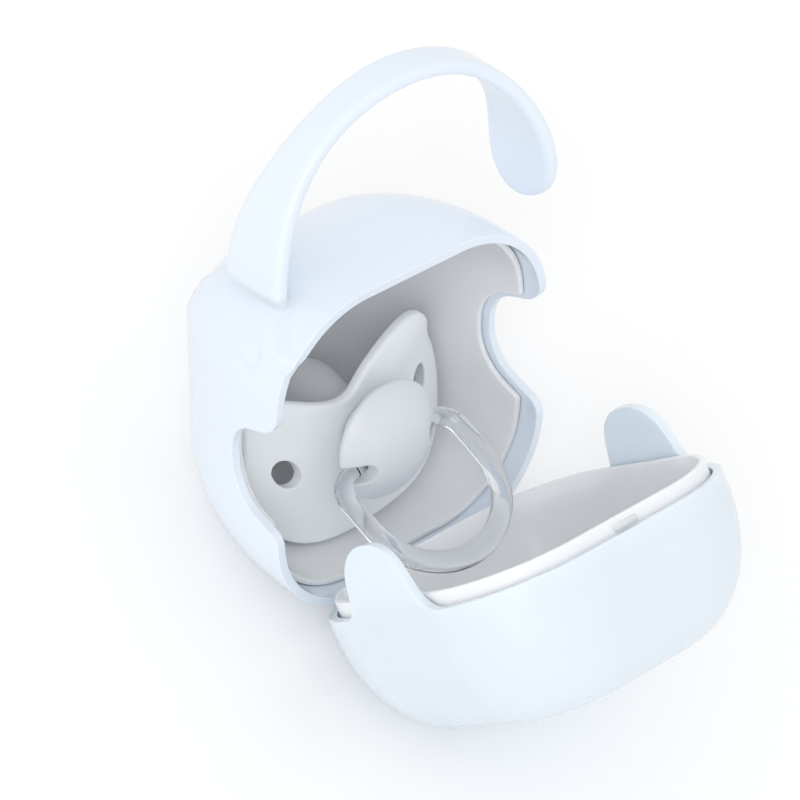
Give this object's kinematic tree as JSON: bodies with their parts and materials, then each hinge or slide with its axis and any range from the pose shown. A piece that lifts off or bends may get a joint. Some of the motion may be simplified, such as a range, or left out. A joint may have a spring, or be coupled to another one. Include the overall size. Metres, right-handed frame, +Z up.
{
  "type": "pacifier case",
  "caption": "Rounded two-shell pacifier case with a hinged lid, liners, a hook handle over the top and the pacifier inside; lid open.",
  "frame": {"origin": "bottom centre of the bounding box of the open case as it stands", "axes": "+X along the lid's hinge, from the handle's root towards its paddle; +Y from the open lid towards the back of the housing; +Z up, away from the surface it stands on"},
  "size_m": [0.075, 0.1114, 0.0958],
  "materials": {
    "shell_plastic": "glossy, near white with a touch of blue",
    "lid_plastic": "glossy, bluish white",
    "handle_plastic": "glossy, bluish white",
    "liner_plastic": "satin to glossy, light grey white",
    "guard_plastic": "satin, white",
    "knob_plastic": "glossy, white",
    "clear_plastic": "clear plastic",
    "silicone": "clear soft silicone, shown milky"
  },
  "bodies": {
    "housing": {"housing_shell": "shell_plastic", "housing_liner": "liner_plastic", "hook_handle": "handle_plastic"},
    "lid": {"lid_shell": "lid_plastic", "lid_liner": "liner_plastic", "hinge_pin": "liner_plastic"},
    "pacifier": {"pacifier_guard": "guard_plastic", "pacifier_knob": "knob_plastic", "pacifier_plug": "knob_plastic", "pacifier_teat": "silicone"},
    "ring": {"pacifier_ring": "clear_plastic"}
  },
  "joints": [
    {"name": "lid_hinge", "type": "hinge", "parent": "housing", "child": "lid", "pos_m": [-0.00496, -0.0037, 0.00656], "axis": [1, 0, 0], "range_deg": [-54, 0]},
    {"name": "pacifier_lift", "type": "slide", "parent": "housing", "child": "pacifier", "axis": [0, 0.2834, 0.959], "range_m": [0, 0.01]},
    {"name": "ring_swing", "type": "hinge", "parent": "pacifier", "child": "ring", "pos_m": [-0.0048, 0.01498, 0.02619], "axis": [-0.9926, -0.0898, -0.0819], "range_deg": [0, 65]}
  ]
}
